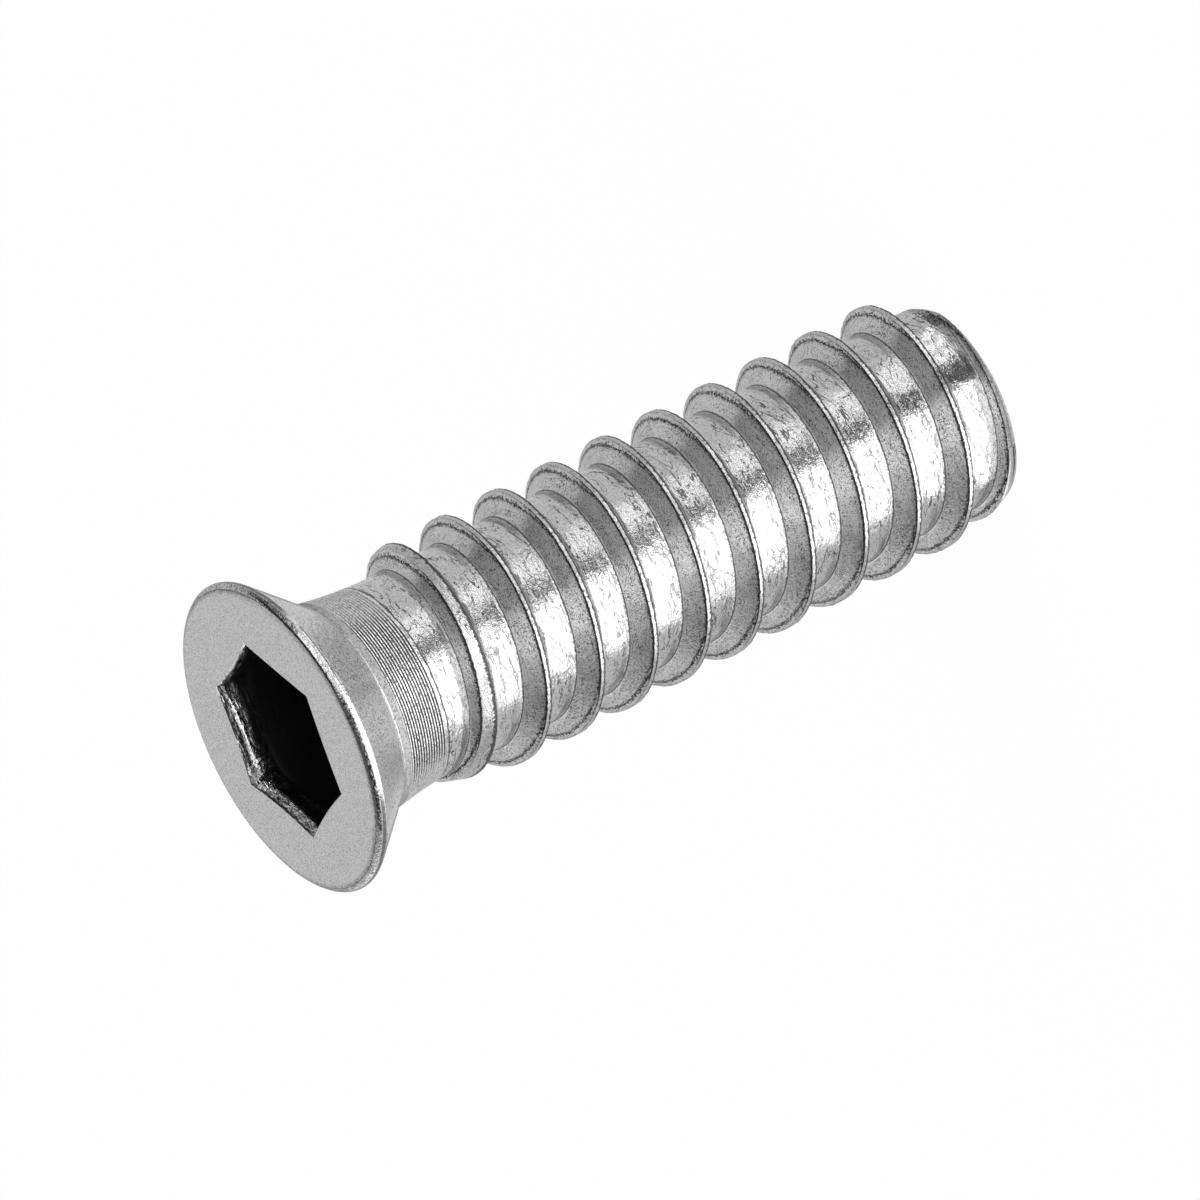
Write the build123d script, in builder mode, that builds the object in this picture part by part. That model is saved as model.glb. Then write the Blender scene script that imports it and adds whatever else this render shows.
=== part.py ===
"""Flanged wood insert: a hexagon socket, a coarse wood thread outside and a machine thread bore inside.

One turned and rolled piece of steel. Its axis is Z: it stands on its cut tip at Z = 0, with the flange
and the socket on top. Sizes are in millimetres, and a depth is measured down from the flange's face.
"""

from build123d import *
from math import ceil, cos, pi, radians, tan
import os

# Overall size
overall_length = 38.1

# Countersunk flange
flange_diameter = 15.25
rim_width = 0.525
rim_drop = 0.34
rim_land = 0.12
rim_edge_radius = 0.15
underside_angle = 40.0

# Turned neck, flaring from the core of the wood thread up to the flange
neck_swell = 0.475
neck_flare_length = 4.6

# Wood thread: one left-hand fin, wound on a plain core
core_diameter = 9.5
thread_diameter = 11.65
thread_pitch = 3.0
thread_crossing_height = 2.1
crest_width = 0.27
flank_angle = 28.0
fin_sink = 0.2

# Tapers that the fin runs out on, under the flange and at the tip
thread_start_depth = 5.75
start_taper_angle = 16.5
tip_taper_angle = 21.5
tip_taper_length = 2.1

# Countersink of the bore at the cut tip
tip_countersink_diameter = 7.9
tip_countersink_angle = 45.0

# Hexagon socket for an 8 mm key, its sides bowed a little inwards
socket_across_flats = 8.1
socket_depth = 1.35
socket_side_bow = 0.09
socket_turn = 44.5
mouth_width = 0.12
mouth_depth = 0.45

# Bore: a clearance length below the socket, then the core of an M8 thread right through the tip
clearance_diameter = 8.2
clearance_depth = 6.0
thread_core_diameter = 6.8
thread_entry_angle = 45.0

# Radii worked out from the sizes above
flange_radius = flange_diameter / 2
face_radius = flange_radius - rim_width
core_radius = core_diameter / 2
neck_radius = core_radius + neck_swell
thread_radius = thread_diameter / 2
tip_countersink_radius = tip_countersink_diameter / 2
clearance_radius = clearance_diameter / 2
thread_core_radius = thread_core_diameter / 2

# Levels above the tip
rim_level = overall_length - rim_drop
land_level = rim_level - rim_land
neck_level = land_level - (flange_radius - neck_radius) / tan(radians(underside_angle))
flare_level = neck_level - neck_flare_length
thread_start_level = overall_length - thread_start_depth
tip_taper_slope = tan(radians(tip_taper_angle))
tip_radius = thread_radius - tip_taper_length * tip_taper_slope
start_taper_slope = tan(radians(start_taper_angle))
socket_floor_level = overall_length - socket_depth
clearance_level = overall_length - clearance_depth
thread_entry_level = clearance_level - (clearance_radius - thread_core_radius) / tan(
    radians(thread_entry_angle)
)
tip_countersink_level = (tip_countersink_radius - thread_core_radius) / tan(
    radians(tip_countersink_angle)
)

# Section of the fin, its foot a little inside the core
fin_foot_radius = core_radius - fin_sink
fin_half_foot = crest_width / 2 + (thread_radius - fin_foot_radius) * tan(radians(flank_angle))

# The fin's helix has whole turns, from below the tip to above its run-out under the flange
turns_below_crossing = 2
helix_start_level = thread_crossing_height - turns_below_crossing * thread_pitch
turn_count = ceil((thread_start_level - helix_start_level) / thread_pitch) + 1
helix_end_level = helix_start_level + (turn_count + 1) * thread_pitch

# Reach of the cutters that turn the fin down, past its crest and inside its foot
cutter_margin = 2 * fin_sink
cutter_radius = thread_radius + cutter_margin


def draw_socket(across_flats):
    """Draw a hexagon of the given width across its flats, each side bowed inwards to its middle."""
    corner = Vector(across_flats / 2 / cos(pi / 6), 0)
    middle = Vector(across_flats / 2 - socket_side_bow, 0)
    for side in range(6):
        turn = socket_turn + 60 * side
        ThreePointArc(
            corner.rotate(Axis.Z, turn),
            middle.rotate(Axis.Z, turn + 30),
            corner.rotate(Axis.Z, turn + 60),
        )


# Wood thread: the fin's section swept up its helix, then turned down at both ends
with BuildPart() as wood_thread:
    with BuildLine():
        Helix(
            pitch=thread_pitch,
            height=turn_count * thread_pitch,
            radius=fin_foot_radius,
            center=(0, 0, helix_start_level),
            lefthand=True,
        )
    with BuildSketch(Plane.XZ):
        with BuildLine():
            Polyline(
                (fin_foot_radius, helix_start_level - fin_half_foot),
                (thread_radius, helix_start_level - crest_width / 2),
                (thread_radius, helix_start_level + crest_width / 2),
                (fin_foot_radius, helix_start_level + fin_half_foot),
                close=True,
            )
        make_face()
    sweep(is_frenet=True)

    # Start taper: what stands outside a cone that opens downwards from the core
    with BuildSketch(Plane.XZ):
        with BuildLine():
            Polyline(
                (core_radius - cutter_margin, thread_start_level + cutter_margin / start_taper_slope),
                (cutter_radius, thread_start_level - (cutter_radius - core_radius) / start_taper_slope),
                (cutter_radius, helix_end_level),
                (core_radius - cutter_margin, helix_end_level),
                close=True,
            )
        make_face()
    revolve(axis=Axis.Z, mode=Mode.SUBTRACT)

    # Tip taper: what stands outside a cone that opens upwards from the tip
    with BuildSketch(Plane.XZ):
        with BuildLine():
            Polyline(
                (tip_radius - cutter_margin, -cutter_margin / tip_taper_slope),
                (cutter_radius, (cutter_radius - tip_radius) / tip_taper_slope),
                (cutter_radius, -cutter_margin / tip_taper_slope),
                close=True,
            )
        make_face()
    revolve(axis=Axis.Z, mode=Mode.SUBTRACT)

    # Tip: what hangs below it
    with BuildSketch(Plane.XY):
        Circle(cutter_radius)
    extrude(amount=helix_start_level - thread_pitch, mode=Mode.SUBTRACT)

# Body: the core with the fin on it, then the flange and the flared neck turned in one
with BuildPart() as insert:
    Cylinder(core_radius, neck_level, align=(Align.CENTER, Align.CENTER, Align.MIN))
    add(wood_thread.part)
    with BuildSketch(Plane.XZ) as head_section:
        with BuildLine():
            Polyline(
                (face_radius, overall_length),
                (0, overall_length),
                (0, flare_level),
                (core_radius, flare_level),
            )
            TangentArc((core_radius, flare_level), (neck_radius, neck_level), tangent=(0, 1))
            Polyline(
                (neck_radius, neck_level),
                (flange_radius, land_level),
                (flange_radius, rim_level),
            )
            TangentArc((face_radius, overall_length), (flange_radius, rim_level), tangent=(1, 0))
        make_face()
        rim_corners = head_section.vertices().group_by(Axis.X)[-1]
        fillet(rim_corners.sort_by(Axis.Y)[0], rim_edge_radius)
    revolve(axis=Axis.Z)

    # Hexagon socket, widening at its mouth
    with BuildSketch(Plane.XY.offset(overall_length)):
        with BuildLine():
            draw_socket(socket_across_flats)
        make_face()
    extrude(amount=-socket_depth, mode=Mode.SUBTRACT)
    with BuildSketch(Plane.XY.offset(overall_length)):
        with BuildLine():
            draw_socket(socket_across_flats + 2 * mouth_width)
        make_face()
    with BuildSketch(Plane.XY.offset(overall_length - mouth_depth)):
        with BuildLine():
            draw_socket(socket_across_flats)
        make_face()
    loft(mode=Mode.SUBTRACT)

    # Clearance bore, thread core and the countersink at the tip
    with BuildSketch(Plane.XZ):
        with BuildLine():
            Polyline(
                (0, 0),
                (tip_countersink_radius, 0),
                (thread_core_radius, tip_countersink_level),
                (thread_core_radius, thread_entry_level),
                (clearance_radius, clearance_level),
                (clearance_radius, socket_floor_level),
                (0, socket_floor_level),
                close=True,
            )
        make_face()
    revolve(axis=Axis.Z, mode=Mode.SUBTRACT)

insert.part.label = "threaded_insert"

os.makedirs("parts", exist_ok=True)
export_step(insert.part, "parts/threaded_insert.step")
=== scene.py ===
"""Threaded wood insert: its dressed skin, its plating, and the plain studio it stands in.

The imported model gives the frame. One closed skin stands for its only node: the flange and its hexagon
socket, the turned neck, the torn wood thread with its ragged crest, and the bolt's thread in the bore.
Sizes are worked out in millimetres and handed to Blender in metres.
"""

import functools
import logging
import math
from dataclasses import dataclass
from enum import Enum, IntEnum
from typing import Any, Callable, Mapping

import bpy
import numpy as np
from mathutils import Matrix, Vector, noise


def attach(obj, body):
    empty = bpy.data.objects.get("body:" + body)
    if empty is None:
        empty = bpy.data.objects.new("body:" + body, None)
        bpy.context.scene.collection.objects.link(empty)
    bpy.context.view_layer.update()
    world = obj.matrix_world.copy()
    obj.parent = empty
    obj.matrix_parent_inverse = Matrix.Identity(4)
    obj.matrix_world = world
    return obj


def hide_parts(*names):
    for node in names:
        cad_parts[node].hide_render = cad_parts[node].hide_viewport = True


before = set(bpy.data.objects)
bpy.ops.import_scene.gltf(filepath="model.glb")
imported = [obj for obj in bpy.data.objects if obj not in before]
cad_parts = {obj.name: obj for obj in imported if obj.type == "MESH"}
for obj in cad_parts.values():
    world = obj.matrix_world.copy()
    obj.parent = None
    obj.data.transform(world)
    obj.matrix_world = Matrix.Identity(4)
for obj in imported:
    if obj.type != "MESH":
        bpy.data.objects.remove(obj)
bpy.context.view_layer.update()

MM = 0.001
TURN = 2.0 * math.pi

# Sizes that several parts share, in millimetres
FACE_LEVEL = 38.1
CORE_RADIUS = 4.75
NECK_RADIUS = 5.235
NECK_LEVEL = 34.88

LOG = logging.getLogger("wood_insert")


class Stretch(IntEnum):
    """Stretches of a column of the skin, in their order from its first row on."""

    START = 0
    HELIX = 1
    END = 2
    PAST = 3


# A row's stretch and number, a radius with its height, and a start with its end
Row = tuple[Stretch, float]
Spot = tuple[float, float]
Range = tuple[float, float]

# A term of the shader maths
Number = "Shade | float"


class Zone(Enum):
    """Masks painted on the skin, which its finish reads."""

    FIN = "fin"
    LIP = "lip"
    RIM = "rim"
    TORN = "torn"
    TURNED = "turned"
    GROOVE = "groove"
    MATT = "matt"
    SATIN = "satin"
    # Painted shade in the socket and the bore, from 0 on lit metal to 1 in black
    HOLLOW = "hollow"
    WALL = "wall"

    @property
    def elsewhere(self) -> float:
        """Its value on the points that it isn't painted on."""
        return {Zone.FIN: -1.0, Zone.LIP: 1.0, Zone.RIM: 9.0}.get(self, 0.0)


def smooth_step(low: float, high: float, value: np.ndarray) -> np.ndarray:
    """Ease from 0 at low to 1 at high, softly, whichever of the two is larger."""
    t = np.clip((np.asarray(value, float) - low) / (high - low), 0.0, 1.0)
    return t * t * (3.0 - 2.0 * t)


@dataclass(frozen=True)
class Grain:
    """A fixed noise: its cells per millimetre along x, y and z, its layers, and its offset from others."""

    stretch: tuple[float, float, float]
    octaves: int
    offset: float

    def at(self, points: np.ndarray) -> np.ndarray:
        """Sample the noise.

        Args:
            points: one row of x, y, z for each point, in millimetres.

        Returns:
            One value for each point, mostly between -1 and 1.
        """
        scaled = points * np.asarray(self.stretch) + self.offset
        if self.octaves == 1:
            return np.array([noise.noise(Vector(p)) for p in scaled])
        return np.array([noise.fractal(Vector(p), 1.0, 2.0, self.octaves) for p in scaled])


def level_ring(radius: np.ndarray | float, angle: np.ndarray, height: float) -> np.ndarray:
    """Turn radii and angles in radians at one height into one row of x, y, z for each point."""
    return place(radius, angle, np.full_like(angle, height))


def grey(tone: float) -> tuple[float, float, float, float]:
    """The colour of a plain grey of the given tone."""
    return (tone, tone, tone, 1.0)


def near_side(angle: np.ndarray | float) -> np.ndarray:
    """Degrees round from the side that faces the camera, from -180 to 180, for angles in radians."""
    return np.mod(90.0 - np.degrees(angle), 360.0) - 180.0


class Skin:
    """The insert's closed surface, gathered column by column and ring by ring along its section."""

    def __init__(self) -> None:
        """Start with no points and no facets."""
        self.points: list[np.ndarray] = []
        self.masks: dict[Zone, list[np.ndarray]] = {zone: [] for zone in Zone}
        self.facets: list[tuple[int, ...]] = []
        self.count = 0

    def add(self, points: np.ndarray, masks: Mapping[Zone, np.ndarray | float]) -> list[int]:
        """Add points and paint their masks.

        Args:
            points: one row of x, y, z for each point, in millimetres.
            masks: a value or values for each zone that is painted there.

        Returns:
            The numbers of the new points.
        """
        self.points.append(np.asarray(points, float))
        for zone in Zone:
            self.masks[zone].append(np.broadcast_to(masks.get(zone, zone.elsewhere), (len(points),)))
        first = self.count
        self.count += len(points)
        return list(range(first, self.count))

    def lace(self, left: list[tuple[Row, int]], right: list[tuple[Row, int]]) -> None:
        """Join two neighbouring columns, in the order of their rows.

        Args:
            left: each point's row and number along the column, from the tip's edge onwards.
            right: the same for the next column round.
        """
        i, k = 0, 0
        while i < len(left) - 1 or k < len(right) - 1:
            facet = [left[i][1], right[k][1]]
            next_left = left[i + 1][0] if i + 1 < len(left) else (Stretch.PAST, 0)
            next_right = right[k + 1][0] if k + 1 < len(right) else (Stretch.PAST, 0)
            if next_right <= next_left:
                k += 1
                facet.append(right[k][1])
            if next_left <= next_right:
                i += 1
                facet.append(left[i][1])
            self.facets.append(tuple(facet))

    def wrap(self, columns: list[list[tuple[Row, int]]], rows_per_turn: int) -> None:
        """Join all columns round the axis.

        Args:
            columns: each column's rows and point numbers.
            rows_per_turn: how many rows the helix climbs from the last column back to the first.
        """
        for j, column in enumerate(columns[:-1]):
            self.lace(column, columns[j + 1])
        climb = {Stretch.HELIX: rows_per_turn}
        seam = [((kind, number + climb.get(kind, 0)), point) for (kind, number), point in columns[0]]
        self.lace(columns[-1], seam)

    def band(self, first: list[int], second: list[int]) -> list[int]:
        """Join two closed rings, of which one may have several times as many points as the other.

        Args:
            first: the ring that comes first along the section.
            second: the ring that follows it.

        Returns:
            The second ring.
        """
        size = min(len(first), len(second))
        many_first, many_second = len(first) // size, len(second) // size
        for j in range(size):
            a = [first[(j * many_first + i) % len(first)] for i in range(many_first + 1)]
            b = [second[(j * many_second + i) % len(second)] for i in range(many_second + 1)]
            if len(a) == len(b):
                self.facets.append((a[0], a[1], b[1], b[0]))
                continue
            few, many, order = (a, b, 1) if len(a) < len(b) else (b, a, -1)
            half = len(many) // 2
            fan = [(few[0] if i < half else few[1], many[i + 1], many[i]) for i in range(len(many) - 1)]
            fan.insert(half, (few[0], few[1], many[half]))
            self.facets.extend(facet[::order] for facet in fan)
        return second

    def piece(self, name: str, material: bpy.types.Material, crease_angle: float) -> bpy.types.Object:
        """Make the mesh object.

        Args:
            name: the piece's name.
            material: the finish on all of it.
            crease_angle: facets that meet at more than this many degrees keep a sharp edge.

        Returns:
            The new object, linked to the scene.
        """
        mesh = bpy.data.meshes.new(name)
        mesh.from_pydata((np.concatenate(self.points) * MM).tolist(), [], self.facets)
        for zone in Zone:
            layer = mesh.attributes.new(zone.value, "FLOAT", "POINT")
            layer.data.foreach_set("value", np.concatenate(self.masks[zone]).astype(np.float32))
        mesh.polygons.foreach_set("use_smooth", np.ones(len(mesh.polygons), bool))
        mesh.set_sharp_from_angle(angle=math.radians(crease_angle))
        mesh.materials.append(material)
        mesh.validate()
        mesh.update()
        return put(name, mesh)


def put(name: str, data: bpy.types.ID) -> bpy.types.Object:
    """Make an object and put it in the scene.

    Args:
        name: its name.
        data: its mesh, lamp or camera.

    Returns:
        The object.
    """
    made = bpy.data.objects.new(name, data)
    bpy.context.scene.collection.objects.link(made)
    return made


def place(radius: np.ndarray | float, angle: np.ndarray | float, height: np.ndarray) -> np.ndarray:
    """Turn radii, angles in radians and heights into one row of x, y, z for each point."""
    radius, angle, height = np.broadcast_arrays(radius, angle, height)
    return np.stack([radius * np.cos(angle), radius * np.sin(angle), height], axis=1)


def part_way(start: Spot, end: Spot, share: float) -> Spot:
    """The place at a share of the way from the start to the end."""
    return (start[0] * (1 - share) + end[0] * share, start[1] * (1 - share) + end[1] * share)


def arc(start: Spot, end: Spot, tangent: Spot, steps: int) -> list[Spot]:
    """Points along an arc in the section.

    Args:
        start: the radius and height that it leaves from.
        end: where it arrives.
        tangent: the direction, of length 1, in which it leaves.
        steps: how many points follow the first.

    Returns:
        The points after the start, the last of them the end.
    """
    chord = np.subtract(end, start)
    normal = np.array([-tangent[1], tangent[0]])
    across = float(chord @ normal)
    reach = float(chord @ chord) / (2.0 * across)
    centre = np.asarray(start) + normal * reach
    sweep = 2.0 * math.atan2(across, float(chord @ np.asarray(tangent)))
    points = []
    for step in range(1, steps + 1):
        turn = sweep * step / steps
        spoke = np.asarray(start) - centre
        points.append((
            float(centre[0] + spoke[0] * math.cos(turn) - spoke[1] * math.sin(turn)),
            float(centre[1] + spoke[0] * math.sin(turn) + spoke[1] * math.cos(turn)),
        ))
    return points


@dataclass(frozen=True)
class Flange:
    """The countersunk head: a flat face, a rounded rim and a cone below it."""

    radius: float = 7.62
    face_radius: float = 7.1
    face_level: float = FACE_LEVEL
    rim_level: float = 37.76
    land_level: float = 37.64
    neck_radius: float = NECK_RADIUS
    neck_level: float = NECK_LEVEL
    neck_fillet: float = 0.09
    edge_radius: float = 0.15
    fillet_steps: int = 4
    edge_steps: int = 4
    cone_steps: int = 9
    rim_steps: int = 9
    satin_edge: Range = (0.05, -0.12)
    matt_edge: Range = (0.012, 0.002)
    land_share: float = 0.2
    line_share: float = 0.50
    line_shift: float = 0.10
    line_turn: Range = (-10.0, 2.0)

    def section(self) -> list[Spot]:
        """Work out the section of the head.

        Returns:
            Radius and height of each row, from above the neck's last row to the edge of the face.
        """
        slope = (self.radius - self.neck_radius) / (self.land_level - self.neck_level)
        rise = 1.0 / math.hypot(slope, 1.0)
        run = slope * rise
        start = (self.neck_radius, self.neck_level - self.neck_fillet * rise)
        cone_start = (
            self.neck_radius + self.neck_fillet * run * rise,
            self.neck_level + self.neck_fillet * rise * rise,
        )
        rows = [start]
        knee = (self.neck_radius, self.neck_level)
        for step in range(1, self.fillet_steps + 1):
            t = step / self.fillet_steps
            rows.append(part_way(part_way(start, knee, t), part_way(knee, cone_start, t), t))
        edge = self.edge_radius * math.tan(math.atan2(1.0, slope) / 2.0)
        corner_start = (self.radius - edge * run, self.land_level - edge * rise)
        for step in range(1, self.cone_steps + 1):
            rows.append(part_way(cone_start, corner_start, step / self.cone_steps))
        corner_end = (self.radius, self.land_level + edge)
        rows.extend(arc(corner_start, corner_end, (run, rise), self.edge_steps))
        rows.append((self.radius, self.rim_level))
        back = arc((self.face_radius, self.face_level), (self.radius, self.rim_level), (1.0, 0.0),
                   self.rim_steps)
        rows.extend(reversed(back[:-1]))
        rows.append((self.face_radius, self.face_level))
        return rows

    def rim_at(self, radius: np.ndarray, height: np.ndarray, angle: np.ndarray | float) -> np.ndarray:
        """Measure the way over the rim.

        Args:
            radius: the radius of each point.
            height: its height.
            angle: its angle, in radians.

        Returns:
            0 on the line where the rim's rounding leaves the face, below 0 on the face's side of it and
            above 0 towards the cone, in shares of the rounding.
        """
        width, drop = self.radius - self.face_radius, self.face_level - self.rim_level
        bend = (width * width + drop * drop) / (2.0 * drop)
        along = np.arcsin(np.clip((radius - self.face_radius) / bend, -1.0, 1.0)) / math.asin(width / bend)
        below = (self.rim_level - height) / (self.rim_level - self.land_level)
        along = np.where(below > 0.0, 1.0 + self.land_share * below, along)
        # On one side of the camera the measure shifts, which moves the rim's line of painted shade and the
        # satin edge
        shift = smooth_step(*self.line_turn, near_side(angle))
        return along - self.line_share + self.line_shift * shift


@dataclass(frozen=True)
class Neck:
    """The turned neck: it flares from the core up to the flange, and keeps the tool's last grooves."""

    core_radius: float = CORE_RADIUS
    neck_radius: float = NECK_RADIUS
    flare_level: float = 30.18
    neck_level: float = NECK_LEVEL
    groove_spacing: float = 0.155
    groove_depth: float = 0.042
    groove_low: float = 32.12
    groove_high: float = 34.42
    first_fade: float = 0.2
    last_fade: float = 0.06
    last_gap: float = 0.04
    turned_start: Range = (31.9, 32.4)
    matt_edge: float = 0.03
    rows_per_groove: int = 4

    def radius_at(self, height: np.ndarray) -> np.ndarray:
        """Work out the plain body, core and flare.

        Args:
            height: the height of each point.

        Returns:
            The radius at each point.
        """
        rise = self.neck_level - self.flare_level
        swell = self.neck_radius - self.core_radius
        bend = (swell * swell + rise * rise) / (2.0 * swell)
        up = np.clip(np.asarray(height, float) - self.flare_level, 0.0, rise)
        return self.core_radius + bend - np.sqrt(bend * bend - up * up)

    def levels(self, low: float, high: float) -> list[float]:
        """Heights of the rows between two levels, close enough for the grooves."""
        count = round((high - low) / self.groove_spacing * self.rows_per_groove)
        return [low + (high - low) * i / count for i in range(count + 1)]

    def groove(self, height: np.ndarray, angle: np.ndarray) -> np.ndarray:
        """Wind the grooves round the neck.

        Args:
            height: the height of each point.
            angle: the angle of each point, in radians.

        Returns:
            How deep each point lies, from 0 on a land to 1 at a groove's bottom.
        """
        feed = height / self.groove_spacing + angle / TURN
        inside = smooth_step(self.groove_low, self.groove_low + self.first_fade, height)
        inside = inside * smooth_step(self.groove_high, self.groove_high - self.last_fade, height)
        return inside * (0.5 - 0.5 * np.cos(TURN * feed))


@dataclass(frozen=True)
class WoodThread:
    """The coarse left-hand thread: one fin on the core, tapered off at both ends, its root torn."""

    core_radius: float = CORE_RADIUS
    crest_radius: float = 5.825
    pitch: float = 3.0
    crossing_height: float = 2.1
    crest_width: float = 0.27
    flank_angle: float = 28.0
    start_level: float = 32.35
    start_taper: float = 16.5
    start_drop: float = 0.4
    start_drop_levels: Range = (31.0, 31.9)
    tip_radius: float = 4.998
    tip_taper: float = 21.5
    top_level: float = 32.05
    turns: tuple[int, int] = (-2, 16)
    foot_fillet: float = 0.16
    fillet_share: float = 0.28
    fillet_spread: float = 0.07
    fillet_end: Range = (33.0, 31.5)
    tip_side_rows: tuple[float, ...] = (0.86, 0.45)
    head_side_rows: tuple[float, ...] = (0.45, 0.82, 0.93)
    root_rows: int = 7
    edge_step: float = 0.06
    foot_step: float = 0.05
    least_step: float = 0.01
    least_side: float = 0.08
    end_gap: float = 0.03
    fin_rise: Range = (0.0, 0.12)
    crest_rise: Range = (0.55, 0.95)
    shaved_cut: Range = (-0.02, 0.10)
    root_fall: Range = (0.02, -0.25)
    root_start: Range = (0.0, 0.4)
    root_end: Range = (32.6, 31.9)
    tip_hold: Range = (0.0, 0.6)
    tear_depth: float = 0.035
    tear_mix: Range = (0.75, 0.5)
    burr_height: float = 0.022
    burr_mix: Range = (0.6, 0.8)
    burr_slide: Range = (0.9, -0.63)
    wander_reach: float = 0.03
    lip_near: float = 0.0
    lip_far: float = 0.27
    lip_side: float = 8.0
    lip_turn: Range = (25.0, 75.0)
    dents: Grain = Grain((0.55, 0.55, 1.3), 3, 7.3)
    scratches: Grain = Grain((1.5, 1.5, 4.2), 2, 31.7)
    rags: Grain = Grain((3.1, 3.1, 3.1), 1, 3.9)
    bites: Grain = Grain((7.3, 7.3, 7.3), 1, 53.1)
    wander: Grain = Grain((0.35, 0.35, 0.2), 1, 11.0)

    @property
    def cot(self) -> float:
        """How fast the flank falls along the axis."""
        return 1.0 / math.tan(math.radians(self.flank_angle))

    @property
    def half_foot(self) -> float:
        """Half the fin's width where it meets the core."""
        return self.crest_width / 2 + (self.crest_radius - self.core_radius) / self.cot

    @property
    def upper_edge(self) -> int:
        """Which of a turn's rows runs along the crest's edge on the side towards the head."""
        return len(self.tip_side_rows) + 5

    @property
    def head_foot(self) -> int:
        """Which of a turn's rows runs along the foot of the side towards the head."""
        return self.upper_edge + len(self.head_side_rows) + 2

    @property
    def rows_per_turn(self) -> int:
        """How many rows there are from one crest to the next."""
        return self.head_foot + 3 + self.root_rows

    def crest_level(self, turn: np.ndarray | float, angle: np.ndarray | float) -> np.ndarray:
        """Height of the middle of the crest of the given turn at an angle in radians."""
        return self.crossing_height + self.pitch * (turn - angle / TURN)

    def local(self, height: np.ndarray, angle: np.ndarray) -> np.ndarray:
        """Distance along the axis from the nearest crest, positive towards the head."""
        away = height - self.crest_level(0.0, angle)
        return away - self.pitch * np.round(away / self.pitch)

    def radius_at(self, height: np.ndarray, angle: np.ndarray) -> tuple[np.ndarray, np.ndarray]:
        """Work out the fin, turned down by both tapers.

        Args:
            height: the height of each point.
            angle: the angle of each point, in radians.

        Returns:
            The radius at each point, and how far the start's taper has cut it there.
        """
        local = self.local(height, angle)
        fin = self.crest_radius - np.maximum(0.0, np.abs(local) - self.crest_width / 2) * self.cot
        start = self.core_radius + (self.start_level - height) * math.tan(math.radians(self.start_taper))
        start = start - self.start_drop * smooth_step(*self.start_drop_levels, height - local)
        tip = self.tip_radius + height * math.tan(math.radians(self.tip_taper))
        return np.minimum(fin, np.minimum(start, tip)), fin - start

    def edges(self, turn: np.ndarray, angle: float) -> tuple[np.ndarray, np.ndarray, np.ndarray]:
        """Find where the crest starts and ends in a column.

        Args:
            turn: the numbers of the turns.
            angle: the column's angle, in radians.

        Returns:
            The tip side's edge, the middle and the head side's edge of each turn, measured from the
            middle of its untapered crest.
        """
        half, level = self.crest_width / 2, self.crest_level(turn, angle)
        top = self.crest_radius + half * self.cot
        start_slope = math.tan(math.radians(self.start_taper))
        tip_slope = math.tan(math.radians(self.tip_taper))
        start_here = self.core_radius + (self.start_level - level) * start_slope
        tip_here = self.tip_radius + level * tip_slope
        upper = np.maximum(half, np.maximum(
            (top - start_here) / (self.cot - start_slope), (top - tip_here) / (self.cot + tip_slope)
        ))
        lower = np.minimum(-half, np.minimum(
            (start_here - top) / (self.cot + start_slope), (tip_here - top) / (self.cot - tip_slope)
        ))
        limit = self.half_foot - 2 * self.least_step
        upper, lower = np.minimum(upper, limit), np.maximum(lower, -limit)
        start_cross = (start_here - self.crest_radius) / start_slope
        tip_cross = (self.crest_radius - tip_here) / tip_slope
        middle = (upper + lower) / 2
        for cross in (start_cross, tip_cross):
            inside = (cross > lower + self.end_gap) & (cross < upper - self.end_gap)
            middle = np.where(inside, cross, middle)
        return lower, middle, upper

    def rows(self, angle: float) -> tuple[np.ndarray, np.ndarray, np.ndarray, np.ndarray]:
        """Lay out a column's rows along the thread.

        Args:
            angle: the column's angle, in radians.

        Returns:
            The number and height of each row from the tip upwards, then its place on the fin: from 0 at
            the foot of the side towards the head to 1 at the crest's edge and more across the crest,
            with less than 0 in the fillet, and how far it lies below the folded lip on that side.
        """
        turns = np.arange(*self.turns) + math.floor(angle / TURN)
        lower, middle, upper = self.edges(turns, angle)
        foot = np.full(len(turns), self.half_foot)
        beyond = foot + self.foot_fillet
        columns = [-beyond, -foot]
        columns += [lower + (-foot - lower) * part for part in self.tip_side_rows]
        columns += [np.maximum(lower - self.edge_step, self.least_step - foot), lower, middle, upper]
        columns += [np.minimum(upper + self.edge_step, foot - self.least_step)]
        columns += [upper + (foot - upper) * part for part in self.head_side_rows]
        columns += [foot, foot + self.foot_step, beyond]
        columns += [
            beyond + (self.pitch - 2 * beyond) * i / (self.root_rows + 1)
            for i in range(1, self.root_rows + 1)
        ]
        local = np.stack(columns, axis=1)
        column = np.arange(self.rows_per_turn)
        stands = (foot - upper > self.least_side)[:, None]
        head_side = (column >= self.upper_edge - 2) & (column <= self.head_foot + 4) & stands
        across = self.crest_width * (upper[:, None] - local) / (upper - lower)[:, None]
        down = foot[:, None] - local
        up = down / np.maximum(foot - upper, self.least_side)[:, None]
        fin = np.where(column <= self.upper_edge, 1.0 + across, np.where(column <= self.head_foot, up, down))
        fin = np.where(head_side, fin, Zone.FIN.elsewhere)
        # The fold's line of painted shade lies at the crest's edge on the side facing the camera and further
        # down the flank away from it
        aside = smooth_step(*self.lip_turn, np.abs(near_side(angle) - self.lip_side))
        fold = self.lip_near + (self.lip_far - self.lip_near) * aside
        lip = (np.minimum(local, foot[:, None]) - upper[:, None]) * self.cot - fold
        lip = np.where(head_side, lip, Zone.LIP.elsewhere)
        height = local + self.crest_level(turns, angle)[:, None]
        number = turns[:, None] * self.rows_per_turn + column
        keep = (height > self.end_gap) & (height < self.top_level - self.end_gap)
        return number[keep], height[keep], fin[keep], lip[keep]

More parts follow.
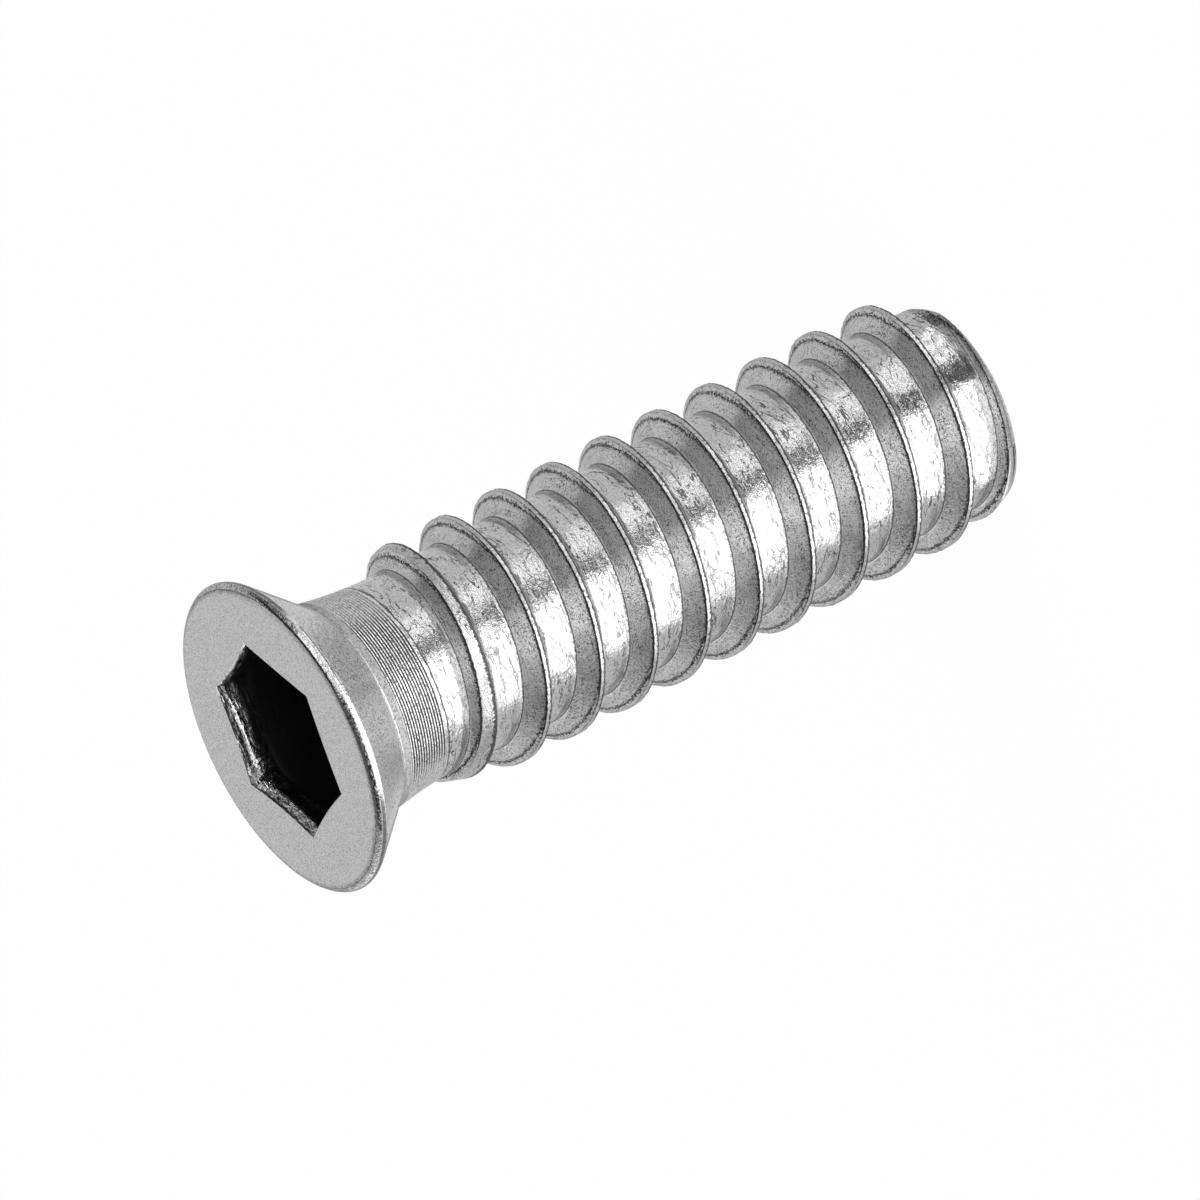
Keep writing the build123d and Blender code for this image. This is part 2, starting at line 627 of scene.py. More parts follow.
    def wear(self, plain: np.ndarray, over: np.ndarray, cut: np.ndarray,
             fin: np.ndarray) -> tuple[np.ndarray, np.ndarray, np.ndarray]:
        """Tear the root and rag the crest of one column.

        Args:
            plain: the plain points.
            over: how far the fin stands over the body at each of them.
            cut: how far the start's taper has cut the fin there.
            fin: the place of each on the fin.

        Returns:
            How far each point moves outwards and along the axis, and how torn the metal is there.
        """
        height = plain[:, 2]
        on_fin = smooth_step(*self.fin_rise, over)
        torn = smooth_step(*self.root_fall, over) * smooth_step(*self.root_end, height)
        torn = torn * smooth_step(*self.root_start, height)
        torn = np.maximum(torn, smooth_step(*self.shaved_cut, cut) * on_fin)
        coarse, fine = self.tear_mix
        tear = self.tear_depth * (coarse * self.dents.at(plain) + fine * self.scratches.at(plain)) * torn
        far_edge = 1.0 + self.crest_width - self.least_step
        edge = np.where((np.abs(fin - 1.0) < self.least_step) | (fin > far_edge), on_fin, 0.0)
        ragged, bite = self.rags.at(plain), self.bites.at(plain)
        lift, slide = (
            self.burr_height * (coarse * ragged + fine * bite) * edge
            for coarse, fine in (self.burr_mix, self.burr_slide)
        )
        wander = self.wander_reach * self.wander.at(plain) * smooth_step(*self.crest_rise, over)
        return tear + lift, (slide + wander) * smooth_step(*self.tip_hold, height), torn


@dataclass(frozen=True)
class Wall:
    """One wall of the socket: how far it bows inwards, where its widened mouth bends and ends, and the
    painted shade on it.
    """

    bow: float = 0.13
    bend_depth: float = 0.1
    bend_share: float = 0.5
    end_depth: float = 0.42
    # Painted shade on the wall: a band below the mouth, a dark line at its edge, a band under the ridge, and
    # black from a depth on
    outer_shade: float = 0.5
    shade_start: float = 0.10
    shade_end: float = 0.20
    shade_edges: Range = (0.03, 0.05)
    dark_gap: float = 0.03
    dark_fade: float = 0.09
    full_dark: float = 0.97
    line_depth: float = 0.0
    line_shade: float = 0.92
    line_edge: float = 0.012
    line_fade: float = 0.7
    ridge_height: float = 0.0
    ridge_gap: float = 0.04
    inner_shade: float = 0.25
    inner_start: Range = (0.05, 0.1)

    def painted_shade(self, depth: np.ndarray, ridge: np.ndarray) -> np.ndarray:
        """Work out how dark the painted shade on the wall is.

        Args:
            depth: the depth of each point.
            ridge: how deep the scraped ridge lies there, on a wall that has it.

        Returns:
            0 on bright metal to 1 in full painted shade.
        """
        last, inner, line = self.shade_end, 0.0, 0.0
        if self.ridge_height > 0.0:
            last = ridge - self.ridge_gap
            inner = self.inner_shade * smooth_step(*(ridge + start for start in self.inner_start), depth)
        if self.line_depth > 0.0:
            line = smooth_step(0.0, self.line_edge, depth)
            line = line * smooth_step(self.line_depth, self.line_fade * self.line_depth, depth)
        rise, fall = self.shade_edges
        outer = smooth_step(self.shade_start, self.shade_start + rise, depth)
        outer = outer * smooth_step(last, last - fall, depth)
        dark = np.clip((depth - self.end_depth - self.dark_gap + self.dark_fade) / self.dark_fade, 0.0, 1.0)
        darkest = np.maximum(self.outer_shade * outer, self.full_dark * dark)
        return np.maximum(darkest, np.maximum(inner, self.line_shade * line))


@dataclass(frozen=True)
class Socket:
    """The hexagon socket for an 8 mm key, its sides bowed inwards and its mouth dragged open."""

    across_flats: float = 8.02
    turn: float = 44.5
    depth: float = 1.35
    mouth_width: float = 0.16
    rounding_room: float = 1e-9
    corner_start: float = 0.82
    settling: Range = (0.0, 0.12)
    dent_depth: float = 0.02
    scratch_depth: float = 0.012
    dents: Grain = Grain((1.0, 1.0, 1.0), 2, 5.0)
    scratches: Grain = Grain((5.0, 5.0, 2.5), 2, 15.0)
    ridge_depth: float = 0.45
    ridge_lean: float = 0.09
    ridge_front: float = 0.06
    ridge_back: float = 0.30
    ridge_waver: float = 0.03
    burr_corner: int = 1
    burr_turn: float = 1.5
    burr_height: float = 0.26
    burr_reach: float = 8.5
    burr_start: Range = (0.05, 0.16)
    burr_end: Range = (1.2, 0.8)
    burr_waver: float = 0.05
    burr_cover: float = 1.9
    # How far the folded burr lifts the painted shade, as it catches the light
    burr_shine: float = 0.95
    fold_share: float = 0.45
    fold_turn: float = 1.7
    fold_fall: float = 7.0
    # Painted shade in the corner where the last wall meets the first, and how its depth wavers
    corner_shade: float = 0.68
    corner_line: Range = (0.0, 0.03)
    left_shade: Range = (-0.72, -0.95)
    right_shade: Range = (0.80, 0.97)
    shade_waver: float = 0.06
    shade_grain: float = 0.05
    walls: tuple[Wall, ...] = (
        Wall(0.17, 0.42, 0.72, 0.88, 0.62, line_depth=0.08, ridge_height=0.06, dark_fade=0.42),
        Wall(0.16, 0.25, 0.52, 0.52, 0.30, shade_start=0.2, line_depth=0.15),
        Wall(),
        Wall(bow=0.06),
        Wall(bow=0.02),
        Wall(bow=0.12, bend_share=0.42, end_depth=0.36, outer_shade=0.65, shade_start=0.06),
    )
    levels: tuple[float, ...] = (
        0.012, 0.035, 0.06, 0.09, 0.13, 0.17, 0.21, 0.25, 0.29, 0.33, 0.37, 0.41, 0.46, 0.51, 0.57, 0.63,
        0.70, 0.78, 0.88, 1.0, 1.35,
    )

    @property
    def sector(self) -> float:
        """How far round one wall reaches, in radians."""
        return TURN / len(self.walls)

    def along(self, angle: np.ndarray) -> tuple[np.ndarray, np.ndarray]:
        """Find the wall at each angle.

        Args:
            angle: angles in radians.

        Returns:
            Its number from 0 to 5, and the way along it from -1 to 1.
        """
        side = (angle - math.radians(self.turn)) / self.sector
        number = np.floor(side + self.rounding_room)
        return np.mod(number, len(self.walls)).astype(int), 2.0 * (side - number) - 1.0

    def mixed(self, angle: np.ndarray, measure: Callable[[Wall], np.ndarray]) -> np.ndarray:
        """Take a measure from each wall, and even it out round the corners.

        Args:
            angle: angles in radians.
            measure: gives the values at all of the angles for one wall.

        Returns:
            The value at each angle.
        """
        number, along = self.along(angle)
        values = np.stack([np.broadcast_to(measure(wall), angle.shape) for wall in self.walls])
        column = np.arange(len(angle))
        beside = np.mod(number + np.where(along < 0.0, -1, 1), len(self.walls))
        share = 0.5 * smooth_step(self.corner_start, 1.0, np.abs(along))
        return values[number, column] * (1.0 - share) + values[beside, column] * share

    def radius_at(self, angle: np.ndarray, across_flats: float) -> np.ndarray:
        """Distance from the axis to the hexagon's wall.

        Args:
            angle: angles in radians.
            across_flats: width of the hexagon.

        Returns:
            The radius at each angle.
        """
        number, along = self.along(angle)
        off = along * self.sector / 2
        bow = np.array([wall.bow for wall in self.walls])[number]
        half = across_flats / 2
        chord = half * math.tan(self.sector / 2)
        bend = (chord * chord + bow * bow) / (2 * bow)
        centre = half - bow + bend
        return centre * np.cos(off) - np.sqrt(bend * bend - (centre * np.sin(off)) ** 2)

    def widening(self, angle: np.ndarray, depth: float) -> np.ndarray:
        """Work out how much of the mouth's widening is left at a depth.

        Args:
            angle: angles in radians.
            depth: the depth below the face.

        Returns:
            1 where the mouth is fully widened to 0 where it is not.
        """
        return self.mixed(angle, lambda wall: np.interp(
            depth, (0.0, wall.bend_depth, wall.end_depth), (1.0, wall.bend_share, 0.0)
        ))

    def ridge_at(self, angle: np.ndarray) -> np.ndarray:
        """How deep the scraped ridge lies at each angle."""
        return self.ridge_depth + self.ridge_lean * self.along(angle)[1]

    def ridge(self, angle: np.ndarray, depth: np.ndarray) -> np.ndarray:
        """Shape the scraped ridge.

        Args:
            angle: angles in radians.
            depth: the depth of each point.

        Returns:
            How far it stands off the wall at each point.
        """
        off = depth - self.ridge_at(angle)
        width = np.where(off < 0.0, self.ridge_front, self.ridge_back)
        return self.mixed(angle, lambda wall: wall.ridge_height * np.exp(-(off / width) ** 2))

    def burr(self, angle: np.ndarray, depth: np.ndarray) -> np.ndarray:
        """Work out the burr that the broach folded over in one corner.

        Args:
            angle: angles in radians.
            depth: the depth of each point.

        Returns:
            How thick the burr is, from 0 to 1.
        """
        off = angle - math.radians(self.turn) - self.sector * self.burr_corner
        off = np.degrees(np.mod(off + math.pi, TURN) - math.pi) - self.burr_turn
        folds = 1.0 - self.fold_share * (1.0 - np.cos(self.fold_turn * off + self.fold_fall * depth))
        inside = smooth_step(*self.burr_start, depth) * smooth_step(*self.burr_end, depth)
        return folds * inside * np.exp(-(off / self.burr_reach) ** 2)

    def painted_shade(self, angle: np.ndarray, depth: np.ndarray) -> np.ndarray:
        """Work out the painted shade on the walls: lined at the mouth and black further down.

        Args:
            angle: angles in radians.
            depth: the depth of each point, less where the dark starts later.

        Returns:
            0 on bright metal to 1 in full painted shade.
        """
        number, along = self.along(angle)
        near_corner = np.where(number == 0, smooth_step(*self.left_shade, along), 0.0)
        last = len(self.walls) - 1
        near_corner = np.where(number == last, smooth_step(*self.right_shade, along), near_corner)
        near_corner = self.corner_shade * near_corner * smooth_step(*self.corner_line, depth)
        ridge = self.ridge_at(angle)
        dark = np.maximum(self.mixed(angle, lambda wall: wall.painted_shade(depth, ridge)), near_corner)
        return dark * (1.0 - self.burr_shine * np.minimum(1.0, self.burr_cover * self.burr(angle, depth)))

    def ring(self, angle: np.ndarray, depth: float, top: float) -> tuple[np.ndarray, dict[Zone, np.ndarray]]:
        """Shape the walls at one depth.

        Args:
            angle: angles in radians.
            depth: how far the ring lies below the face.
            top: the face's height.

        Returns:
            The radius at each angle, and the masks.
        """
        wall = self.radius_at(angle, self.across_flats)
        mouth = self.radius_at(angle, self.across_flats + 2 * self.mouth_width)
        dents = self.dents.at(level_ring(wall, angle, top - depth * 0.5))
        scratches = self.scratches.at(level_ring(wall, angle, top - depth))
        settle = smooth_step(*self.settling, depth)
        radius = wall + (mouth - wall) * self.widening(angle, depth)
        radius = radius + (self.dent_depth * dents + self.scratch_depth * scratches) * settle
        radius = radius - self.ridge(angle, depth - self.ridge_waver * dents)
        radius = radius - self.burr_height * self.burr(angle, depth - self.burr_waver * dents)
        # Painted shade in the socket, carried by the hollow mask
        painted_shade = self.painted_shade(angle, depth + self.shade_waver * dents + self.shade_grain * scratches)
        return radius, {
            Zone.HOLLOW: painted_shade, Zone.TORN: settle, Zone.SATIN: 1.0 - settle, Zone.WALL: settle,
        }


@dataclass(frozen=True)
class BoltBore:
    """The bore: a clearance length, then the bolt's own right-hand thread down to the countersink."""

    clearance_radius: float = 4.1
    clearance_level: float = 32.1
    core_radius: float = 3.4
    root_radius: float = 4.02
    pitch: float = 1.25
    countersink_radius: float = 3.95
    crest_flat: float = 0.3
    root_flat: float = 0.16
    end_gap: float = 0.04
    clearance_rings: tuple[float, ...] = (36.4, 34.0)
    # From the tip's open end, where the bore's painted shade starts and where it is black
    dark_start: Range = (0.0, 2.5)
    turns: tuple[int, int] = (-3, 29)
    rows_per_turn: int = 4

    @property
    def entry_level(self) -> float:
        """Height at which the entry cone reaches the thread's core."""
        return self.clearance_level - (self.clearance_radius - self.core_radius)

    def radius_at(self, height: np.ndarray, angle: np.ndarray) -> np.ndarray:
        """Work out the bore.

        Args:
            height: the height of each point.
            angle: the angle of each point, in radians.

        Returns:
            The radius at each point.
        """
        away = height - self.pitch * angle / TURN
        away = np.abs(away - self.pitch * np.round(away / self.pitch))
        flank = (self.pitch - self.crest_flat - self.root_flat) / 2
        rise = np.clip((away - self.crest_flat / 2) / flank, 0.0, 1.0)
        thread = self.core_radius + (self.root_radius - self.core_radius) * rise
        entry = self.core_radius + (height - self.entry_level)
        countersink = self.countersink_radius - height
        bore = np.maximum(thread, np.maximum(entry, countersink))
        return np.minimum(bore, np.maximum(self.clearance_radius, countersink))

    def rows(self, angle: float) -> tuple[np.ndarray, np.ndarray]:
        """Lay out a column's rows along the bolt's thread.

        Args:
            angle: the column's angle, in radians.

        Returns:
            The number and height of each row, from the tip upwards.
        """
        turns = np.arange(*self.turns)
        local = np.array([-self.crest_flat / 2, self.crest_flat / 2,
                          (self.pitch - self.root_flat) / 2, (self.pitch + self.root_flat) / 2])
        height = turns[:, None] * self.pitch + local + self.pitch * angle / TURN
        number = turns[:, None] * self.rows_per_turn + np.arange(self.rows_per_turn)
        keep = (height > self.end_gap) & (height < self.clearance_level - self.end_gap)
        return number[keep], height[keep]


@dataclass(frozen=True)
class Insert:
    """The whole insert: its parts' sizes, and the one skin that they share."""

    flange: Flange = Flange()
    neck: Neck = Neck()
    thread: WoodThread = WoodThread()
    socket: Socket = Socket()
    bore: BoltBore = BoltBore()
    columns: int = 216
    socket_columns: int = 432
    bore_columns: int = 108
    crease_angle: float = 38.0
    face_rings: tuple[float, ...] = (0.03, 0.35, 0.7, 0.93, 1.0)
    # How dark the painted shade is at the socket's floor
    floor_shade: float = 0.97

    def angles(self, count: int) -> np.ndarray:
        """Angles of evenly spaced columns, one of them at each corner of the socket."""
        return math.radians(self.socket.turn) + TURN * np.arange(count) / count

    def outside(self, skin: Skin) -> tuple[list[int], list[int]]:
        """Build the outer surface, from the edge of the tip to the edge of the face.

        Args:
            skin: gathers the points and facets.

        Returns:
            The first ring, at the tip, and the last, at the face.
        """
        thread, neck = self.thread, self.neck
        head = self.flange.section()
        neck_levels = neck.levels(thread.top_level, head[0][1] - neck.last_gap)
        head_radii, head_levels = (np.array(values) for values in zip(*head))
        laced: list[list[tuple[Row, int]]] = []
        for angle in self.angles(self.columns):
            number, height, fin, lip = thread.rows(float(angle))
            height = np.concatenate([[0.0], height, neck_levels])
            fin, lip = (
                np.concatenate([[zone.elsewhere], values, [zone.elsewhere] * len(neck_levels)])
                for zone, values in ((Zone.FIN, fin), (Zone.LIP, lip))
            )
            body = skin.add(*self.shape(height, float(angle), fin, lip))
            flange = skin.add(*self.head_points(head_radii, float(angle), head_levels))
            rows: list[Row] = [(Stretch.START, 0)]
            rows += [(Stretch.HELIX, int(n)) for n in number]
            rows += [(Stretch.END, i) for i in range(len(neck_levels) + len(head))]
            laced.append(list(zip(rows, body + flange)))
        skin.wrap(laced, thread.rows_per_turn)
        return [column[0][1] for column in laced], [column[-1][1] for column in laced]

    def shape(self, height: np.ndarray, angle: float, fin: np.ndarray,
              lip: np.ndarray) -> tuple[np.ndarray, dict[Zone, np.ndarray]]:
        """Shape one column of the threaded and turned length, with its tears, burrs and grooves.

        Args:
            height: the height of each row.
            angle: the column's angle, in radians.
            fin: the place of each row on the fin.
            lip: how far each row lies below the fin's folded lip.

        Returns:
            The points and their masks.
        """
        thread, neck = self.thread, self.neck
        base = neck.radius_at(height)
        raised, cut = thread.radius_at(height, np.full_like(height, angle))
        over = raised - base
        fillet = thread.foot_fillet * thread.fillet_share * np.exp(-(over / thread.fillet_spread) ** 2)
        radius = np.maximum(base, raised) + fillet * smooth_step(*thread.fillet_end, height)
        out, slide, torn = thread.wear(place(radius, angle, height), over, cut, fin)
        groove = neck.groove(height, np.full_like(height, angle))
        radius = radius + out - neck.groove_depth * groove
        height = height + slide
        matt_start = neck.groove_high - neck.matt_edge
        return place(radius, angle, height), {
            Zone.FIN: fin,
            Zone.LIP: lip,
            Zone.TORN: torn,
            Zone.TURNED: smooth_step(*neck.turned_start, height),
            Zone.GROOVE: groove,
            Zone.MATT: smooth_step(matt_start, neck.groove_high + neck.matt_edge, height),
        }

    def head_points(self, radius: np.ndarray, angle: float,
                    height: np.ndarray) -> tuple[np.ndarray, dict[Zone, np.ndarray]]:
        """Place one column of the flange.

        Args:
            radius: the radius of each row.
            angle: the column's angle, in radians.
            height: the height of each row.

        Returns:
            The points and their masks.
        """
        flange = self.flange
        rim = flange.rim_at(radius, height, angle)
        satin = smooth_step(*flange.satin_edge, rim)
        matt = smooth_step(*(flange.neck_radius + edge for edge in flange.matt_edge), radius)
        return place(radius, angle, height), {
            Zone.TURNED: 1.0 - satin, Zone.SATIN: satin, Zone.RIM: rim, Zone.MATT: matt,
        }

    def face(self, skin: Skin, rim: list[int]) -> list[int]:
        """Build the flat face and the hexagon's walls.

        Args:
            skin: gathers the points and facets.
            rim: the ring at the edge of the face.

        Returns:
            The ring at the top of the bore.
        """
        flange, socket, top = self.flange, self.socket, self.flange.face_level
        angle = self.angles(self.socket_columns)
        mouth = socket.radius_at(angle, socket.across_flats + 2 * socket.mouth_width)
        previous = rim
        for part in self.face_rings:
            radius = flange.face_radius * (1 - part) + mouth * part
            rim_here = flange.rim_at(radius, np.full_like(angle, top), angle)
            masks = {Zone.SATIN: 1.0, Zone.RIM: rim_here}
            previous = skin.band(previous, skin.add(level_ring(radius, angle, top), masks))
        for depth in socket.levels:
            radius, masks = socket.ring(angle, depth, top)
            previous = skin.band(previous, skin.add(level_ring(radius, angle, top - depth), masks))
        # The socket's floor is painted nearly black: painted shade deep in the hole
        masks = {Zone.HOLLOW: self.floor_shade, Zone.WALL: 1.0}
        inner = level_ring(self.bore.clearance_radius, angle, top - socket.depth)
        return skin.band(previous, skin.add(inner, masks))

    def inside(self, skin: Skin, mouth: list[int]) -> list[int]:
        """Build the bore down to the tip.

        Args:
            skin: gathers the points and facets.
            mouth: the ring at the top of the bore.

        Returns:
            The ring at the edge of the countersink.
        """
        bore = self.bore
        angle = self.angles(self.bore_columns)
        ring = mouth
        # The clearance is painted black: painted shade inside the bore
        for level in bore.clearance_rings:
            lower = skin.add(level_ring(bore.clearance_radius, angle, level), {Zone.HOLLOW: 1.0})
            ring = skin.band(ring, lower)
        laced: list[list[tuple[Row, int]]] = []
        for turn in angle:
            number, height = bore.rows(float(turn))
            height = np.concatenate([[bore.clearance_level], height[::-1], [0.0]])
            radius = bore.radius_at(height, np.full_like(height, turn))
            # Painted shade: the bore darkens from its open end at the tip inwards
            masks = {Zone.HOLLOW: smooth_step(*bore.dark_start, height)}
            numbers = skin.add(place(radius, float(turn), height), masks)
            rows: list[Row] = [(Stretch.HELIX, -int(n)) for n in number[::-1]]
            rows = [(Stretch.START, 0), *rows, (Stretch.END, 0)]
            laced.append(list(zip(rows, numbers)))
        skin.wrap(laced, bore.rows_per_turn)
        skin.band(ring, [column[0][1] for column in laced])
        return [column[-1][1] for column in laced]

    def build(self, material: bpy.types.Material) -> bpy.types.Object:
        """Build the whole skin as one piece.

        Args:
            material: its finish.

        Returns:
            The piece.
        """
        skin = Skin()
        tip, rim = self.outside(skin)
        mouth = self.face(skin, rim)
        hole = self.inside(skin, mouth)
        skin.band(hole, tip)
        return skin.piece("insert_skin", material, self.crease_angle)


def operator(operation: str, swapped: bool = False) -> Callable[["Shade", Number], "Shade"]:
    """Make a method that works on a shade and another term.

    Args:
        operation: what the Math node does.
        swapped: whether the other term comes first.

    Returns:
        The method.
    """
    def method(shade: "Shade", other: Number) -> "Shade":
        """Add the Math node for the two terms."""
        return shade.graph.maths(operation, *((other, shade) if swapped else (shade, other)))

    return method


class Shade:
    """One output in a shader graph, worked with as a number."""

    __add__, __radd__ = operator("ADD"), operator("ADD", True)
    __sub__, __rsub__ = operator("SUBTRACT"), operator("SUBTRACT", True)
    __mul__, __rmul__ = operator("MULTIPLY"), operator("MULTIPLY", True)
    __truediv__ = operator("DIVIDE")

    def __init__(self, graph: "Graph", socket: bpy.types.NodeSocket) -> None:
        """Keep the graph and the socket that gives the value."""
        self.graph = graph
        self.socket = socket

    def __abs__(self) -> "Shade":
        """Drop the sign."""
        return self.graph.maths("ABSOLUTE", self)

    def ease(self, low: float, high: float) -> "Shade":
        """Ease softly between two values, whichever of them is larger.

        Args:
            low: where it is 0.
            high: where it is 1.

        Returns:
            The eased value.
        """
        sockets = {"Value": self, "From Min": low, "From Max": high}
        made = self.graph.node("ShaderNodeMapRange", {"interpolation_type": "SMOOTHSTEP"}, sockets)
        return Shade(self.graph, made.outputs[0])

    def line(self, line: "Line") -> "Shade":
        """Draw a line: 1 where it is full, and 0 where it has faded out."""
        middle, full, faded = line.value
        return abs(self - middle).ease(faded, full)

    def band(self, band: "Band") -> "Shade":
        """Draw a band: 1 where it is full, and 0 before its start and past its end."""
        start, full, last, end = band.value
        return self.ease(start, full) * self.ease(end, last)


class Graph:
    """The node tree of a material or of the world, with one way to add a node."""

    def __init__(self, tree: bpy.types.NodeTree) -> None:
        """Take a tree and clear it."""
        self.tree = tree
        tree.nodes.clear()

    def node(self, kind: str, settings: Mapping[str, Any] | None = None,
             sockets: Mapping[str | int, Any] | None = None) -> bpy.types.Node:
        """Add a node.

        Args:
            kind: its type.
            settings: its own settings, and "stops" for a ramp's positions and tones.
            sockets: a number, a vector, a colour, a socket or a Shade for each input that is set.

        Returns:
            The node.
        """
        made = self.tree.nodes.new(kind)
        for name, value in (settings or {}).items():
            if name == "stops":
                stops = made.color_ramp.elements
                while len(stops) < len(value):
                    stops.new(1.0)
                for stop, (position, tone) in zip(stops, value):
                    stop.position, stop.color = position, grey(tone)
            else:
                setattr(made, name, value)
        for name, value in (sockets or {}).items():
            target = made.inputs[name]
            if isinstance(value, Shade):
                self.tree.links.new(value.socket, target)
            elif isinstance(value, bpy.types.NodeSocket):
                self.tree.links.new(value, target)
            else:
                target.default_value = value
        return made

    def maths(self, operation: str, *terms: Number) -> Shade:
        """Add a Math node that works on its terms in order, and give its result."""
        made = self.node("ShaderNodeMath", {"operation": operation}, dict(enumerate(terms)))
        return Shade(self, made.outputs[0])

    def blend(self, factor: Number, first: Any, second: Any) -> bpy.types.NodeSocket:
        """Mix two colours or sockets: the first at a factor of 0, and the second at 1."""
        made = self.node("ShaderNodeMix", {"data_type": "RGBA"}, {0: factor, 6: first, 7: second})
        return made.outputs[2]

    def zone(self, zone: Zone) -> Shade:
        """Read one of the skin's masks."""
        made = self.node("ShaderNodeAttribute", {"attribute_name": zone.value})
        return Shade(self, made.outputs["Fac"])

    def speckle(self, place_from: bpy.types.NodeSocket, stretch: tuple[float, float, float],
                detail: float, warp: float) -> Shade:
        """Sample a noise texture.

        Args:
            place_from: the socket with the place, in metres.
            stretch: noise cells per millimetre along x, y and z.
            detail: how many finer layers it has.
            warp: how far it is distorted.

        Returns:
            Its value, about 0 on average.
        """
        moved = self.node(
            "ShaderNodeVectorMath", {"operation": "MULTIPLY"},
            {0: place_from, 1: tuple(cells / MM for cells in stretch)},
        )
        made = self.node(
            "ShaderNodeTexNoise", {},
            {"Vector": moved.outputs[0], "Scale": 1.0, "Detail": detail, "Distortion": warp},
        )
        return Shade(self, made.outputs["Fac"]) - 0.5


class Side(Enum):
    """Stretches of the way round, in degrees from the side that faces the camera, which set where painted
    shade falls.

    Each has its middle, how far either way it is full, and how far either way it has faded out.
    """

    CALM_ROOT = (18.0, 21.0, 28.0)
    DARK_FLANK = (-25.5, 15.0, 25.0)
    DIM_FLANK = (32.0, 8.0, 17.0)
    NEAR_CREST = (5.0, 34.0, 46.0)
    LINED_RIM = (-4.0, 49.0, 58.0)
    THIN_RIM_LINE = (22.0, 24.0, 32.0)
    STRAIGHT_RIM_LINE = (0.0, 38.0, 58.0)
    SOOTY_RIM = (23.0, 25.0, 28.0)
    SOOTIEST_RIM = (35.0, 10.0, 20.0)
    FAR_SOOTY_RIM = (-46.0, 11.0, 18.0)
    LINED_RIM_FOOT = (-22.0, 8.0, 14.0)
    BRIGHT_LAND = (-3.0, 32.0, 41.0)
    BRIGHT_RIM = (-4.0, 48.0, 60.0)
    OPEN_RIM = (0.0, 84.0, 104.0)
    NEAR_GROOVES = (8.0, 36.0, 56.0)
    NEAR_NECK = (0.0, 54.0, 72.0)
    BRIGHT_KNEE = (6.0, 33.0, 42.0)
    DIM_CONE = (11.0, 19.0, 43.0)
    CONE_GLINT = (-13.0, 4.0, 10.0)
    NEAR_CONE = (0.0, 51.0, 60.0)


class Line(Enum):
    """Lines along a mask or a grain: the middle, and how far either way each is full and has faded out."""

    # CRACK, SIDE_CRACK and FOLD are partly real cracks and creases and partly painted shade; CREST, FOOT,
    # TIP, RIM and RIM_FOOT are painted shade
    CRACK = (0.0, 0.010, 0.024)
    SIDE_CRACK = (-0.09, 0.008, 0.020)
    FOLD = (0.0, 0.035, 0.07)
    CREST = (0.99, 0.028, 0.058)
    FOOT = (0.0, 0.02, 0.05)
    TIP = (0.2, 0.03, 0.06)
    BORDER = (0.36, 0.07, 0.19)
    RIM = (0.0, 0.055, 0.10)
    RIM_FOOT = (0.64, 0.03, 0.10)


class Band(Enum):
    """Bands along a mask: where each starts, is first full, is last full, and ends."""

    ROUNDING = (-0.02, 0.04, 0.8, 1.0)
    CONE = (0.72, 0.85, 5.0, 5.3)
    FLANK = (0.02, 0.10, 0.90, 0.98)
    # Bands of painted shade
    KNEE = (4.95, 5.1, 5.5, 6.0)
    SOOT = (0.05, 0.15, 0.36, 0.46)
    FAR_SOOT = (-0.02, 0.05, 0.30, 0.50)
    LAND = (0.40, 0.48, 0.70, 0.76)
    DIM_RIM = (-0.45, -0.1, 0.8, 1.0)
    HIDDEN_RIM = (0.02, 0.12, 0.8, 1.0)


class Texture(Enum):
    """Grains of the plating: noise cells per millimetre along x, y and z, finer layers, and warp."""

    DENTS = ((0.8, 0.8, 1.9), 3.0, 0.7)
    WRINKLE = ((1.7, 1.7, 4.6), 2.0, 1.0)
    SEAM = ((0.6, 0.6, 2.3), 1.6, 1.3)
    PATCH = ((0.45, 0.45, 0.8), 1.0, 0.0)
    SAND = ((7.0, 7.0, 7.0), 2.0, 0.0)
    FUZZ = ((17.0, 17.0, 17.0), 2.0, 0.0)
    DRAG = ((7.0, 7.0, 1.0), 2.0, 0.0)
    RINGS = ((0.25, 0.25, 14.0), 2.0, 0.0)


